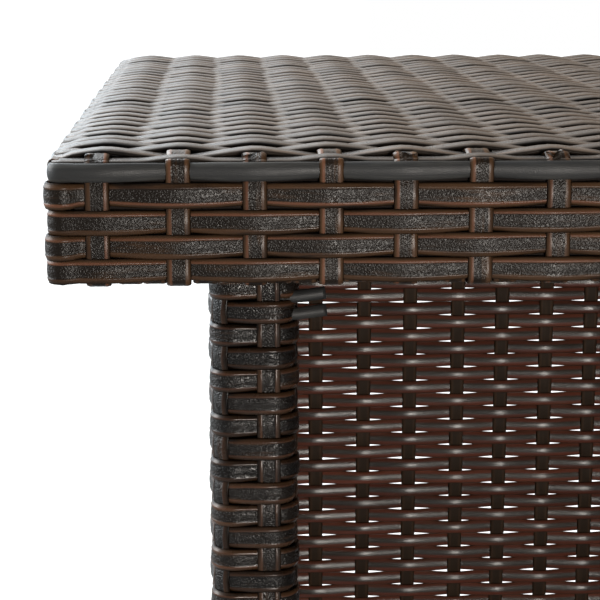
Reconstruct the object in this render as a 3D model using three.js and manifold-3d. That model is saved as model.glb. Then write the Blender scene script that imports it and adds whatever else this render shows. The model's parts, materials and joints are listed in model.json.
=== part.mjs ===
// A woven outdoor coffee table: a welded steel frame covered with flat plastic strip, standing on
// four wrapped legs, with open-weave panels on the back and on both ends, and an open front.
//
// Millimetres, +Z up. X runs along the table, the open side faces -Y, and the origin is on the
// floor under the middle of the top.

import * as THREE from 'three';
import { mergeVertices } from 'three/addons/utils/BufferGeometryUtils.js';
import Module from 'manifold-3d';

const wasm = await Module();
wasm.setup();

// ---------------------------------------------------------------- driving dimensions

const TOP_LENGTH = 1000;
const TOP_DEPTH = 500;
const TABLE_HEIGHT = 430;
const GAP = 0.3; // between pieces that touch

const ROW_PITCH = 8.34; // one woven row on the edge of the top
const EDGE_ROWS = 5;
const WEAVE_THICKNESS = 3; // two crossing strips on the top and its edge
const EDGE_CORNER_RADIUS = 9;
const SLAB_THICKNESS = EDGE_ROWS * ROW_PITCH;

const TUBE_WALL = 1.5;
const TUBE_CORNER_RADIUS = 2;
const RAIL_WIDTH = 20;
const RAIL_HEIGHT = 36;
const LEG_BAR_WIDTH = 25;
const LEG_BAR_HEIGHT = 32;
const CROSSBAR_SIDE = 20;
const CROSSBAR_SPACING = 215;

const LEG_INSET = 70; // from the edge of the top to the middle of a leg
const LEG_TUBE_SIDE = 25;
const LEG_WEAVE_SIDE = 32;
const LEG_WEAVE_CORNER_RADIUS = 5;
const LEG_PLATE = { width: 30, length: 90, thickness: 4 };
const LEG_BOLT_OFFSET = 33; // either side of the leg, along Y
const LEG_BOLT = { shank: 3, head: 5.77, headHeight: 4, length: 22 };
const BOLT_HOLE_RADIUS = 3.3;

const PANEL_BOTTOM = 60;
const PANEL_TOP = 384;
const PANEL_RAIL_SIDE = 15;
const PANEL_RAIL_WALL = 1.2;
const PANEL_WEAVE_THICKNESS = 2.4;
const LUG_THICKNESS = 3;
const LUG_WIDTH = 14;
const LUG_REACH = 20; // how far a lug runs past its rail
const LUG_SETBACK = 0.5; // from the rail's far face
const LUG_HOLE_OFFSET = 11; // from the rail to the screw
const WEEP_HOLE_RADIUS = 2;
const WEEP_HOLE_INSET = 40;
const PANEL_SCREW = { shank: 2.5, head: 4.5, headHeight: 3, length: 12.3 };
const SCREW_HOLE_RADIUS = 2.8;

const FOOT = { radius: 14, rim: 3, neck: 9, height: 8, stud: 4, length: 34 };
const INSERT = { flange: 2, plugDepth: 18, bore: 4.2 };
const FOOT_SEGMENTS = 24;
const ROUND_SEGMENTS = 12; // screws, bolts and holes

// ---------------------------------------------------------------- worked-out positions

const slabBottom = TABLE_HEIGHT - SLAB_THICKNESS;
const frameTop = TABLE_HEIGHT - WEAVE_THICKNESS - GAP;
const railOuterX = TOP_LENGTH / 2 - WEAVE_THICKNESS - GAP;
const railOuterY = TOP_DEPTH / 2 - WEAVE_THICKNESS - GAP;
const crossbarLength = 2 * (railOuterY - RAIL_WIDTH - GAP);
const legX = TOP_LENGTH / 2 - LEG_INSET;
const legY = TOP_DEPTH / 2 - LEG_INSET;
const legBarBottom = frameTop - LEG_BAR_HEIGHT;
const plateBottom = legBarBottom - GAP - LEG_PLATE.thickness;
const insertBottom = FOOT.height + GAP;
const legTubeBottom = insertBottom + INSERT.flange + GAP;
const legWeaveBottom = legTubeBottom + GAP;
const legWeaveTop = plateBottom - GAP;
const panelSpanX = 2 * (legX - LEG_WEAVE_SIDE / 2 - GAP); // between the wrapped legs
const panelSpanY = 2 * (legY - LEG_WEAVE_SIDE / 2 - GAP);
const screwHeights = [
  PANEL_BOTTOM + PANEL_RAIL_SIDE + LUG_HOLE_OFFSET,
  PANEL_TOP - PANEL_RAIL_SIDE - LUG_HOLE_OFFSET,
];
const LEGS = [
  { name: 'front_left', x: -legX, y: -legY },
  { name: 'front_right', x: legX, y: -legY },
  { name: 'back_left', x: -legX, y: legY },
  { name: 'back_right', x: legX, y: legY },
];

// ---------------------------------------------------------------- materials

function finish(color, roughness, metalness) {
  return () => new THREE.MeshStandardMaterial({ color, roughness, metalness });
}

const wickerFinish = finish('#2b211d', 0.42, 0);
const frameFinish = finish('#1d1a19', 0.5, 0.3);
const zincFinish = finish('#a9abad', 0.35, 0.9);
const footFinish = finish('#151515', 0.6, 0);

// ---------------------------------------------------------------- solids

function toSolid(geometry) {
  const bare = geometry.index ? geometry.clone() : geometry;
  bare.deleteAttribute('normal');
  bare.deleteAttribute('uv');
  const merged = mergeVertices(bare, 1e-4);
  return new wasm.Manifold(new wasm.Mesh({
    numProp: 3,
    vertProperties: new Float32Array(merged.attributes.position.array),
    triVerts: new Uint32Array(merged.index.array),
  }));
}

function toGeometry(solid) {
  const mesh = solid.getMesh();
  const geometry = new THREE.BufferGeometry();
  geometry.setAttribute('position', new THREE.BufferAttribute(mesh.vertProperties, 3));
  geometry.setIndex(new THREE.BufferAttribute(mesh.triVerts, 1));
  geometry.computeVertexNormals();
  return geometry;
}

function block(width, depth, height) {
  return new THREE.BoxGeometry(width, depth, height);
}

// A round bar along `axis`, from the origin towards its positive end.
function bar(radius, length, axis, segments = ROUND_SEGMENTS) {
  const geometry = new THREE.CylinderGeometry(radius, radius, length, segments);
  geometry.translate(0, length / 2, 0);
  if (axis === 'z') geometry.rotateX(Math.PI / 2);
  if (axis === 'x') geometry.rotateZ(-Math.PI / 2);
  return geometry;
}

function roundedRectangle(path, width, height, radius) {
  const x = width / 2 - radius;
  const y = height / 2 - radius;
  path.absarc(x, y, radius, 0, Math.PI / 2);
  path.absarc(-x, y, radius, Math.PI / 2, Math.PI);
  path.absarc(-x, -y, radius, Math.PI, 1.5 * Math.PI);
  path.absarc(x, -y, radius, 1.5 * Math.PI, 2 * Math.PI);
  path.closePath();
  return path;
}

function extruded(shape, length, curveSegments = 2) {
  return new THREE.ExtrudeGeometry(shape, {
    depth: length, bevelEnabled: false, curveSegments, steps: 1,
  });
}

function plate(width, depth, thickness, radius) {
  return extruded(roundedRectangle(new THREE.Shape(), width, depth, radius), thickness);
}

// A rectangular tube standing on the XY plane, open at both ends.
function tube(width, depth, length, wall, radius = TUBE_CORNER_RADIUS) {
  const shape = roundedRectangle(new THREE.Shape(), width, depth, radius);
  const innerRadius = Math.max(radius - wall, 0.5);
  const inside = new THREE.Path();
  shape.holes.push(roundedRectangle(inside, width - 2 * wall, depth - 2 * wall, innerRadius));
  return extruded(shape, length);
}

// The same tube laid along X or Y, centred on the origin; `width` is level and `height` upright.
function layingTube(width, height, length, wall, axis) {
  const geometry = tube(width, height, length, wall);
  geometry.translate(0, 0, -length / 2);
  geometry.rotateX(Math.PI / 2);
  if (axis === 'x') geometry.rotateZ(Math.PI / 2);
  return geometry;
}

// ---------------------------------------------------------------- the assembly

const table = new THREE.Group();

function add(name, geometry, makeMaterial, x = 0, y = 0, z = 0) {
  const mesh = new THREE.Mesh(geometry, makeMaterial());
  mesh.name = name;
  mesh.position.set(x, y, z);
  table.add(mesh);
  return mesh;
}

// The outer frame of the top: two long rails with two short ones between them.
function addTopFrame() {
  const z = frameTop - RAIL_HEIGHT / 2;
  const longRail = 2 * (TOP_LENGTH / 2 - EDGE_CORNER_RADIUS - GAP);
  for (const [name, side] of [['front', -1], ['back', 1]]) {
    const rail = layingTube(RAIL_WIDTH, RAIL_HEIGHT, longRail, TUBE_WALL, 'x');
    add(`top_rail_${name}`, rail, frameFinish, 0, side * (railOuterY - RAIL_WIDTH / 2), z);
  }
  for (const [name, side] of [['left', -1], ['right', 1]]) {
    const rail = layingTube(RAIL_WIDTH, RAIL_HEIGHT, crossbarLength, TUBE_WALL, 'y');
    add(`top_rail_${name}`, rail, frameFinish, side * (railOuterX - RAIL_WIDTH / 2), 0, z);
  }
}

// Bars that carry the weave, from the front rail to the back one.
function addCrossbars() {
  const z = frameTop - CROSSBAR_SIDE / 2;
  for (const [name, step] of [['left', -1], ['centre', 0], ['right', 1]]) {
    const crossbar = layingTube(CROSSBAR_SIDE, CROSSBAR_SIDE, crossbarLength, TUBE_WALL, 'y');
    add(`top_crossbar_${name}`, crossbar, frameFinish, step * CROSSBAR_SPACING, 0, z);
  }
}

// Deeper bars over the legs, drilled for the leg bolts.
function addLegBars() {
  const height = LEG_BAR_HEIGHT;
  for (const [name, side] of [['left', -1], ['right', 1]]) {
    let solid = toSolid(layingTube(LEG_BAR_WIDTH, height, crossbarLength, TUBE_WALL, 'y'));
    for (const leg of [-legY, legY]) {
      for (const offset of [-LEG_BOLT_OFFSET, LEG_BOLT_OFFSET]) {
        const drill = bar(BOLT_HOLE_RADIUS, 4 * TUBE_WALL, 'z');
        drill.translate(0, leg + offset, -height / 2 - 2 * TUBE_WALL);
        solid = solid.subtract(toSolid(drill));
      }
    }
    add(`leg_bar_${name}`, toGeometry(solid), frameFinish, side * legX, 0, frameTop - height / 2);
  }
}

// The woven skin: a plate on top and a band round the edge, whose long pieces turn the corners.
function addTopWeave() {
  add('top_weave', plate(TOP_LENGTH, TOP_DEPTH, WEAVE_THICKNESS, EDGE_CORNER_RADIUS),
    wickerFinish, 0, 0, TABLE_HEIGHT - WEAVE_THICKNESS);

  const height = frameTop - slabBottom;
  const cornerX = TOP_LENGTH / 2 - EDGE_CORNER_RADIUS;
  const cornerY = TOP_DEPTH / 2 - EDGE_CORNER_RADIUS;
  const innerRadius = EDGE_CORNER_RADIUS - WEAVE_THICKNESS;
  for (const [name, turn] of [['front', 0], ['back', Math.PI]]) {
    const outline = new THREE.Shape();
    outline.absarc(-cornerX, -cornerY, EDGE_CORNER_RADIUS, Math.PI, 1.5 * Math.PI);
    outline.absarc(cornerX, -cornerY, EDGE_CORNER_RADIUS, 1.5 * Math.PI, 2 * Math.PI);
    outline.absarc(cornerX, -cornerY, innerRadius, 2 * Math.PI, 1.5 * Math.PI, true);
    outline.absarc(-cornerX, -cornerY, innerRadius, 1.5 * Math.PI, Math.PI, true);
    outline.closePath();
    const band = extruded(outline, height, 5);
    add(`edge_weave_${name}`, band, wickerFinish, 0, 0, slabBottom).rotation.z = turn;
  }
  const sideLength = 2 * (cornerY - GAP);
  for (const [name, side] of [['left', -1], ['right', 1]]) {
    const x = side * (TOP_LENGTH - WEAVE_THICKNESS) / 2;
    const band = block(WEAVE_THICKNESS, sideLength, height);
    add(`edge_weave_${name}`, band, wickerFinish, x, 0, slabBottom + height / 2);
  }
}

// Clearance holes for the panel screws, in the faces of a leg that carry a panel.
function drillForPanels(solid, leg, halfSide) {
  const towardsBack = -Math.sign(leg.y);
  const towardsMiddle = -Math.sign(leg.x);
  let drilled = solid;
  for (const z of screwHeights) {
    const alongY = bar(SCREW_HOLE_RADIUS, halfSide, 'y');
    if (towardsBack < 0) alongY.rotateX(Math.PI);
    alongY.translate(0, towardsBack * halfSide / 2, z);
    drilled = drilled.subtract(toSolid(alongY));
    if (leg.y > 0) {
      const alongX = bar(SCREW_HOLE_RADIUS, halfSide, 'x');
      if (towardsMiddle < 0) alongX.rotateZ(Math.PI);
      alongX.translate(towardsMiddle * halfSide / 2, 0, z);
      drilled = drilled.subtract(toSolid(alongX));
    }
  }
  return drilled;
}

// A leg: a square tube welded to its bolting plate, and the woven sleeve on it.
function addLeg(leg) {
  const tubeLength = plateBottom - legTubeBottom + LEG_PLATE.thickness / 2;
  const legTube = tube(LEG_TUBE_SIDE, LEG_TUBE_SIDE, tubeLength, TUBE_WALL);
  legTube.translate(0, 0, legTubeBottom);
  const boltingPlate = plate(LEG_PLATE.width, LEG_PLATE.length, LEG_PLATE.thickness, 3);
  boltingPlate.translate(0, 0, plateBottom);
  let frame = toSolid(legTube).add(toSolid(boltingPlate));
  for (const offset of [-LEG_BOLT_OFFSET, LEG_BOLT_OFFSET]) {
    const drill = bar(BOLT_HOLE_RADIUS, 2 * LEG_PLATE.thickness, 'z');
    drill.translate(0, offset, plateBottom - LEG_PLATE.thickness / 2);
    frame = frame.subtract(toSolid(drill));
  }
  frame = drillForPanels(frame, leg, LEG_TUBE_SIDE / 2 + 1);
  add(`leg_tube_${leg.name}`, toGeometry(frame), frameFinish, leg.x, leg.y);

  const wall = (LEG_WEAVE_SIDE - LEG_TUBE_SIDE) / 2 - GAP;
  const sleeveLength = legWeaveTop - legWeaveBottom;
  const sleeve = tube(LEG_WEAVE_SIDE, LEG_WEAVE_SIDE, sleeveLength, wall, LEG_WEAVE_CORNER_RADIUS);
  sleeve.translate(0, 0, legWeaveBottom);
  const drilled = drillForPanels(toSolid(sleeve), leg, LEG_WEAVE_SIDE / 2 + 1);
  add(`leg_weave_${leg.name}`, toGeometry(drilled), wickerFinish, leg.x, leg.y);
}

// Two hexagon bolts hold each leg's plate to the bar over it.
function addLegBolts(leg) {
  for (const [name, side] of [['a', -1], ['b', 1]]) {
    const head = bar(LEG_BOLT.head, LEG_BOLT.headHeight, 'z', 6);
    const shank = bar(LEG_BOLT.shank, LEG_BOLT.headHeight + LEG_BOLT.length, 'z');
    const bolt = toGeometry(toSolid(head).add(toSolid(shank)));
    const z = plateBottom - GAP - LEG_BOLT.headHeight;
    add(`leg_bolt_${leg.name}_${name}`, bolt, zincFinish, leg.x, leg.y + side * LEG_BOLT_OFFSET, z);
  }
}

// A threaded plastic insert closes the leg tube, and the levelling foot screws into it.
function addFoot(leg) {
  const plugSide = LEG_TUBE_SIDE - 2 * TUBE_WALL - 2 * GAP;
  const flange = plate(LEG_TUBE_SIDE, LEG_TUBE_SIDE, INSERT.flange, TUBE_CORNER_RADIUS);
  const plug = plate(plugSide, plugSide, INSERT.flange + INSERT.plugDepth, 1);
  const bore = bar(INSERT.bore, INSERT.flange + INSERT.plugDepth + 2, 'z', FOOT_SEGMENTS);
  bore.translate(0, 0, -1);
  const insert = toSolid(flange).add(toSolid(plug)).subtract(toSolid(bore));
  add(`foot_insert_${leg.name}`, toGeometry(insert), footFinish, leg.x, leg.y, insertBottom);

  const profile = [
    [0, 0], [FOOT.radius - 1, 0], [FOOT.radius, 1], [FOOT.radius, FOOT.rim],
    [FOOT.neck, FOOT.height], [FOOT.stud, FOOT.height], [FOOT.stud, FOOT.length - 1],
    [FOOT.stud - 1, FOOT.length], [0, FOOT.length],
  ].map(([radius, z]) => new THREE.Vector2(radius, z));
  const foot = new THREE.LatheGeometry(profile, FOOT_SEGMENTS);
  foot.rotateX(Math.PI / 2);
  add(`levelling_foot_${leg.name}`, foot, footFinish, leg.x, leg.y);
}

// A panel rail along X, centred on the origin: a square tube with weep holes below and a lug
// across each end. `lugSide` is 1 where the lugs reach up and -1 where they reach down.
function panelRail(span, lugSide) {
  const side = PANEL_RAIL_SIDE;
  const length = span - LUG_THICKNESS;
  let rail = toSolid(layingTube(side, side, length, PANEL_RAIL_WALL, 'x'));
  for (const end of [-1, 1]) {
    const lug = block(LUG_THICKNESS, LUG_WIDTH, side - LUG_SETBACK + LUG_REACH);
    lug.translate(end * (span - LUG_THICKNESS) / 2, 0, lugSide * (LUG_REACH + LUG_SETBACK) / 2);
    rail = rail.add(toSolid(lug));
    const screwHole = bar(SCREW_HOLE_RADIUS, 3 * LUG_THICKNESS, 'x');
    screwHole.translate(end * span / 2 - 1.5 * LUG_THICKNESS, 0, lugSide * (side / 2 + LUG_HOLE_OFFSET));
    const weepHole = bar(WEEP_HOLE_RADIUS, side / 2, 'z', 8);
    weepHole.translate(end * (span / 2 - WEEP_HOLE_INSET), 0, -side / 2 - 1);
    rail = rail.subtract(toSolid(screwHole)).subtract(toSolid(weepHole));
  }
  return rail;
}

// One panel screw, its head at the origin and its shank along +X.
function panelScrew() {
  const head = bar(PANEL_SCREW.head, PANEL_SCREW.headHeight, 'x');
  const shank = bar(PANEL_SCREW.shank, PANEL_SCREW.headHeight + PANEL_SCREW.length, 'x');
  return toGeometry(toSolid(head).add(toSolid(shank)));
}

// A woven panel between two legs, with a rail above and below it and a screw at each lug. It is
// made along X and turned by `turn` about +Z.
function addPanel(name, span, x, y, turn) {
  const panel = new THREE.Group();
  panel.position.set(x, y, 0);
  panel.rotation.z = turn;
  table.add(panel);
  const place = (part, geometry, makeMaterial, px, pz) => {
    const mesh = new THREE.Mesh(geometry, makeMaterial());
    mesh.name = `${name}_panel_${part}`;
    mesh.position.set(px, 0, pz);
    panel.add(mesh);
    return mesh;
  };
  const half = PANEL_RAIL_SIDE / 2;
  place('bottom_rail', toGeometry(panelRail(span, 1)), frameFinish, 0, PANEL_BOTTOM + half);
  place('top_rail', toGeometry(panelRail(span, -1)), frameFinish, 0, PANEL_TOP - half);

  const headFace = span / 2 - LUG_THICKNESS - GAP - PANEL_SCREW.headHeight;
  const weaveHeight = PANEL_TOP - PANEL_BOTTOM - 2 * (PANEL_RAIL_SIDE + GAP);
  const weave = block(2 * (headFace - 1), PANEL_WEAVE_THICKNESS, weaveHeight);
  place('weave', weave, wickerFinish, 0, (PANEL_TOP + PANEL_BOTTOM) / 2);

  for (const [end, sign] of [['a', -1], ['b', 1]]) {
    for (const [level, z] of [['low', screwHeights[0]], ['high', screwHeights[1]]]) {
      const screw = place(`screw_${level}_${end}`, panelScrew(), zincFinish, sign * headFace, z);
      screw.rotation.z = sign < 0 ? Math.PI : 0;
    }
  }
}

addTopFrame();
addCrossbars();
addLegBars();
addTopWeave();
for (const leg of LEGS) {
  addLeg(leg);
  addLegBolts(leg);
  addFoot(leg);
}
addPanel('back', panelSpanX, 0, legY, 0);
addPanel('left', panelSpanY, -legX, 0, Math.PI / 2);
addPanel('right', panelSpanY, legX, 0, Math.PI / 2);

export default table;
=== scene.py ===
"""Looks of the woven coffee table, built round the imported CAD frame. Metres, +Z up, open side at -Y."""

import json
import math

import bpy
import numpy as np
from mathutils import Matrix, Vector


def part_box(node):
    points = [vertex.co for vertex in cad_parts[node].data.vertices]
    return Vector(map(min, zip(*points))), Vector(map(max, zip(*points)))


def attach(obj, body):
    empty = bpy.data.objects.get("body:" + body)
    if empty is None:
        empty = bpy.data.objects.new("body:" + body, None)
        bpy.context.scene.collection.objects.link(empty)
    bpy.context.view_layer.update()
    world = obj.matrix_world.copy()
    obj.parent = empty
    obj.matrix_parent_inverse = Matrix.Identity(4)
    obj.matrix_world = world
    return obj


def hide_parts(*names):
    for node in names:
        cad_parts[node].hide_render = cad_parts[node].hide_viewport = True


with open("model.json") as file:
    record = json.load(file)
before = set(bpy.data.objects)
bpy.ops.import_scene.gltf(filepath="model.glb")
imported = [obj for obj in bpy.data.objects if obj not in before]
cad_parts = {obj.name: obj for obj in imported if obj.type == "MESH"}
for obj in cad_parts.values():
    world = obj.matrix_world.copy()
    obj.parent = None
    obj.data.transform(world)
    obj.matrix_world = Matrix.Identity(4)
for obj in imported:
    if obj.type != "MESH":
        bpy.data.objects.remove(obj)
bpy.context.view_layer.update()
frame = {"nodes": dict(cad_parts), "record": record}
rng = np.random.default_rng(41)

MM = 0.001
FLOOR_SIZE = 14.0

# ------------------------------------------------------------------ strip sizes

STRIP_WIDTH = 8.3 * MM
STRIP_THICKNESS = 1.2 * MM
TOP_THICKNESS = 1.9 * MM  # the strips along the top
TOP_CROWN = 0.45 * MM
ROW_PITCH = 8.34 * MM  # rows on the top
STAKES_ALONG = 39  # strips that run front to back
STAKE_INSET = 19 * MM  # from the end of the top to the first of them
SIDE_STAKES = 20
EDGE_RADIUS = 5.5 * MM
SIDE_STAKE_INSET = 10 * MM
END_STAKE_SHIFT = 1.8 * MM  # the first stake stands this much nearer to the corner
STAKE_CROWN = 0.12 * MM
FIRST_ROW_INSET = 7.9 * MM  # from the edge to the middle of the first row on the top
TOP_END_GAP = 2.2 * MM  # the rows on the top end this far from its end faces
TOP_END_DROP = 1.3 * MM  # and this much lower
TOP_ROW_PIECES = 4
RAIL_SINK = 1.1 * MM  # the lowest rows' middle lines lie this far below the rails' upper side
RIM_DROP = 4.0 * MM  # the edge strand lies lower than the crests of the top
RIM_LOW = 2.3 * MM  # and so does the first row behind it
EDGE_ROW_DEPTHS = np.array([3.4, 11.35, 20.1, 28.4, 36.6]) * MM  # below the edge strand's upper rim
EDGE_ROW_WIDTHS = np.array([6.4, 8.7, 8.5, 8.4, 8.4]) * MM
EDGE_CORNER_SWING = np.array([-0.3, 1.6, 0.5, 1.5, 1.0]) * MM  # how far out each row is at the corners
EDGE_RIBS = [(0, 0), (0.12, 1.0), (0.95, 0.1), (0.85, 0.1), (1.0, 0.12)]  # how copper each row's ribs are

LEG_ROW_PITCH = 8.62 * MM
LEG_BOUNDARY = 368.9 * MM
PANEL_ROW_PITCH = 7.72 * MM
PANEL_BOUNDARY = 300.5 * MM
PANEL_STAKE_WIDTH = 8.0 * MM

# ------------------------------------------------------------------ strips as meshes


class Section:
    """The outline of a strip across its width: a flat band with two raised ribs, or a plain round one."""

    HALF_FINE = [(0.98, 0.4), (0.9, 0.62), (0.8, 0.68), (0.71, 0.92), (0.64, 1), (0.57, 0.9), (0.5, 0.66),
                 (0.25, 0.72)]
    HALF_PLAIN = [(0.93, 0.6), (0.66, 1), (0.35, 0.8)]
    HALF_SOFT = [(0.95, 0.45), (0.72, 0.8), (0.38, 0.96)]
    HALF_ROUND = [(0.97, 0.35), (0.86, 0.66), (0.66, 0.88), (0.35, 0.98)]
    BACK = [(0.93, -0.75), (0.4, -0.95), (-0.4, -0.95), (-0.93, -0.75)]

    def __init__(self, width, thickness=STRIP_THICKNESS, half=HALF_PLAIN, crown=0.0, curl_radius=None):
        mirrored = [(-x, y) for x, y in half]
        middle = (0, half[-1][1] + 0.04)
        shape = np.array([(-1, 0)] + mirrored + [middle] + half[::-1] + [(1, 0)] + self.BACK, float)
        self.across = shape[:, 0]
        self.side = shape[:, 0] * width / 2
        self.lift = shape[:, 1] * thickness / 2 + crown * (1 - shape[:, 0] ** 2)
        if curl_radius:
            self.lift = self.lift - self.side ** 2 / (2 * curl_radius)


def tangents(points, closed):
    if closed:
        step = np.roll(points, -1, 0) - np.roll(points, 1, 0)
    else:
        step = np.gradient(points, axis=0)
    return step / np.linalg.norm(step, axis=1, keepdims=True)


class Weave:
    """Strips gathered into one mesh, with where each point lies on its strip kept as attributes."""

    def __init__(self):
        self.points, self.faces, self.strip, self.look = [], [], [], []
        self.count = 0

    def add(self, points, normals, section, tone=0.5, ribs=(0.5, 0.5), closed=False, roll=0.0,
            narrow=None):
        """Sweeps a strip along points. `roll` turns it about its own length, `narrow` scales its width."""
        points = np.asarray(points, float)
        normals = np.broadcast_to(np.asarray(normals, float), points.shape)
        along = tangents(points, closed)
        side = np.cross(along, normals)
        side /= np.linalg.norm(side, axis=1, keepdims=True)
        up = np.cross(side, along)
        side, up = side * math.cos(roll) - up * math.sin(roll), up * math.cos(roll) + side * math.sin(roll)
        rings, width = len(points), len(section.across)
        spread = np.ones(rings) if narrow is None else narrow
        vertices = (points[:, None] + (side * spread[:, None])[:, None] * section.side[:, None]
                    + up[:, None] * section.lift[:, None])
        length = np.concatenate([[0], np.cumsum(np.linalg.norm(np.diff(points, axis=0), axis=1))])
        offset = rng.uniform(0, 50)
        strip = np.empty((rings, width, 3))
        strip[..., 0] = length[:, None] + offset
        strip[..., 1] = section.across
        strip[..., 2] = tone
        look = np.broadcast_to(np.array([ribs[0], ribs[1], rng.uniform()]), (rings, width, 3))
        first = np.arange(rings if closed else rings - 1)
        a = self.count + (first[:, None] * width + np.arange(width))
        b = self.count + (((first + 1) % rings)[:, None] * width + np.arange(width))
        faces = np.stack([a, b, np.roll(b, -1, 1), np.roll(a, -1, 1)], -1).reshape(-1, 4)
        self.faces.extend(faces.tolist())
        if not closed:
            ring = np.arange(width)
            self.faces.append((self.count + ring).tolist())
            self.faces.append((self.count + (rings - 1) * width + ring[::-1]).tolist())
        self.points.append(vertices.reshape(-1, 3))
        self.strip.append(strip.reshape(-1, 3))
        self.look.append(look.reshape(-1, 3))
        self.count += rings * width

    def build(self, name, material, slot, *replaced):
        mesh = bpy.data.meshes.new(name)
        mesh.from_pydata(np.concatenate(self.points).tolist(), [], self.faces)
        for label, values in (("strip", self.strip), ("look", self.look)):
            attribute = mesh.attributes.new(label, "FLOAT_VECTOR", "POINT")
            attribute.data.foreach_set("vector", np.concatenate(values).astype(np.float32).ravel())
        mesh.shade_smooth()
        mesh.materials.append(material)
        piece = bpy.data.objects.new(name, mesh)
        bpy.context.scene.collection.objects.link(piece)
        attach(piece, "table")
        if replaced:
            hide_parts(*replaced)
        return piece


def steps(start, end, spacing):
    """Evenly spaced places from start to end, about `spacing` apart."""
    return np.linspace(start, end, max(2, round(abs(end - start) / spacing) + 1))


def tone(spread):
    """How light one strip is among its neighbours, from 0 to 1."""
    return float(np.clip(0.5 + rng.normal() * spread * 0.4, 0, 1))


def stake_ribs(turned):
    """The upright strips of the edge lie with their coppery rib on the left, but for a few."""
    strong, faint = rng.uniform(0.5, 1.0), rng.uniform(0.05, 0.3)
    return (faint, strong) if turned or rng.uniform() < 0.1 else (strong, faint)


def ribs(most):
    """How copper each of the two ribs is, where one is strong and the other faint."""
    strong, faint = most * rng.uniform(0.7, 1.0), most * rng.uniform(0.0, 0.45)
    return (strong, faint) if rng.uniform() < 0.5 else (faint, strong)


def ribs_pair():
    """The same where neither rib is strong."""
    return (rng.uniform(0.2, 0.6), rng.uniform(0.2, 0.6))


# ------------------------------------------------------------------ materials


class Nodes:
    """A node tree, with short ways to add the nodes used here."""

    def __init__(self, tree):
        self.tree = tree

    def node(self, kind, **settings):
        made = self.tree.nodes.new(kind)
        for key, value in settings.items():
            setattr(made, key, value)
        return made

    def link(self, source, target):
        if isinstance(source, (int, float)):
            target.default_value = source
        else:
            self.tree.links.new(source, target)

    def math(self, operation, a, b=0.0, c=0.0):
        made = self.node("ShaderNodeMath", operation=operation)
        for value, socket in zip((a, b, c), made.inputs):
            self.link(value, socket)
        return made.outputs[0]

    def ramp(self, value, low, high, to_low=0.0, to_high=1.0):
        made = self.node("ShaderNodeMapRange", interpolation_type="SMOOTHSTEP")
        self.link(value, made.inputs["Value"])
        made.inputs["From Min"].default_value = low
        made.inputs["From Max"].default_value = high
        made.inputs["To Min"].default_value = to_low
        made.inputs["To Max"].default_value = to_high
        return made.outputs["Result"]

    def mix(self, share, a, b):
        made = self.node("ShaderNodeMix", data_type="RGBA")
        self.link(share, made.inputs["Factor"])
        for value, socket in ((a, made.inputs[6]), (b, made.inputs[7])):
            if isinstance(value, tuple):
                socket.default_value = (*value, 1)
            else:
                self.tree.links.new(value, socket)
        return made.outputs[2]

    def noise(self, vector, scale, detail=2.0, roughness=0.5):
        made = self.node("ShaderNodeTexNoise")
        self.tree.links.new(vector, made.inputs["Vector"])
        made.inputs["Scale"].default_value = scale
        made.inputs["Detail"].default_value = detail
        made.inputs["Roughness"].default_value = roughness
        return made.outputs["Fac"]

    def vector(self, x, y, z):
        made = self.node("ShaderNodeCombineXYZ")
        for value, socket in zip((x, y, z), made.inputs):
            self.link(value, socket)
        return made.outputs[0]

    def parts(self, vector):
        made = self.node("ShaderNodeSeparateXYZ")
        self.link(vector, made.inputs[0])
        return made.outputs

    def split(self, name):
        return self.parts(self.node("ShaderNodeAttribute", attribute_name=name).outputs["Vector"])

    def scale(self, vector, factor):
        made = self.node("ShaderNodeVectorMath", operation="SCALE")
        self.link(vector, made.inputs[0])
        self.link(factor, made.inputs["Scale"])
        return made.outputs[0]

    def bump(self, height, distance, normal=None):
        made = self.node("ShaderNodeBump")
        made.inputs["Strength"].default_value = 1.0
        made.inputs["Distance"].default_value = distance
        self.link(height, made.inputs["Height"])
        if normal is not None:
            self.link(normal, made.inputs["Normal"])
        return made.outputs[0]


class Material(Nodes):
    """A material made with the short ways above."""

    def __init__(self, name):
        self.material = bpy.data.materials.new(name)
        self.material.use_nodes = True
        super().__init__(self.material.node_tree)
        self.shader = self.tree.nodes["Principled BSDF"]

    def finish(self, color, roughness, normal=None, metallic=0.0):
        self.link(color, self.shader.inputs["Base Color"])
        self.link(roughness, self.shader.inputs["Roughness"])
        self.shader.inputs["Metallic"].default_value = metallic
        self.shader.inputs["IOR"].default_value = 1.5
        if normal is not None:
            self.link(normal, self.shader.inputs["Normal"])
        return self.material


RIB_PLACE = 0.65  # across a strip, whose edges are at -1 and 1
HALF_STRIP = 4.0 * MM


def rib_share(n, across, stretched, side, share, width):
    """How coppery a strip is along one rib, which is worn in places."""
    away = n.math("ABSOLUTE", n.math("SUBTRACT", across, side * RIB_PLACE))
    line = n.ramp(away, width * 0.35, width, 1.0, 0.0)
    worn = n.ramp(n.noise(stretched, 260, 2.0), 0.25, 0.6, 0.55, 1.0)
    return n.math("MULTIPLY", n.math("MULTIPLY", line, share), worn)


def brownness(n, place, stretched, distance, patchiness, brown_share):
    """Long streaks and soft patches of brown on black, with more of it towards a strip's edges."""
    streaks = n.noise(stretched, 420, 3.0, 0.6)
    patches = n.noise(place, 38, 2.0)
    mottle = n.math("ADD", n.math("MULTIPLY", streaks, 0.6), n.math("MULTIPLY", patches, 0.4))
    mottle = n.math("MULTIPLY_ADD", n.math("SUBTRACT", mottle, 0.5), patchiness, 0.5)
    mottle = n.math("ADD", n.ramp(distance, 0.42, 0.62, -0.05, 0.11), mottle)
    return n.ramp(mottle, 0.60 - 0.3 * brown_share, 0.80 - 0.3 * brown_share)


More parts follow.
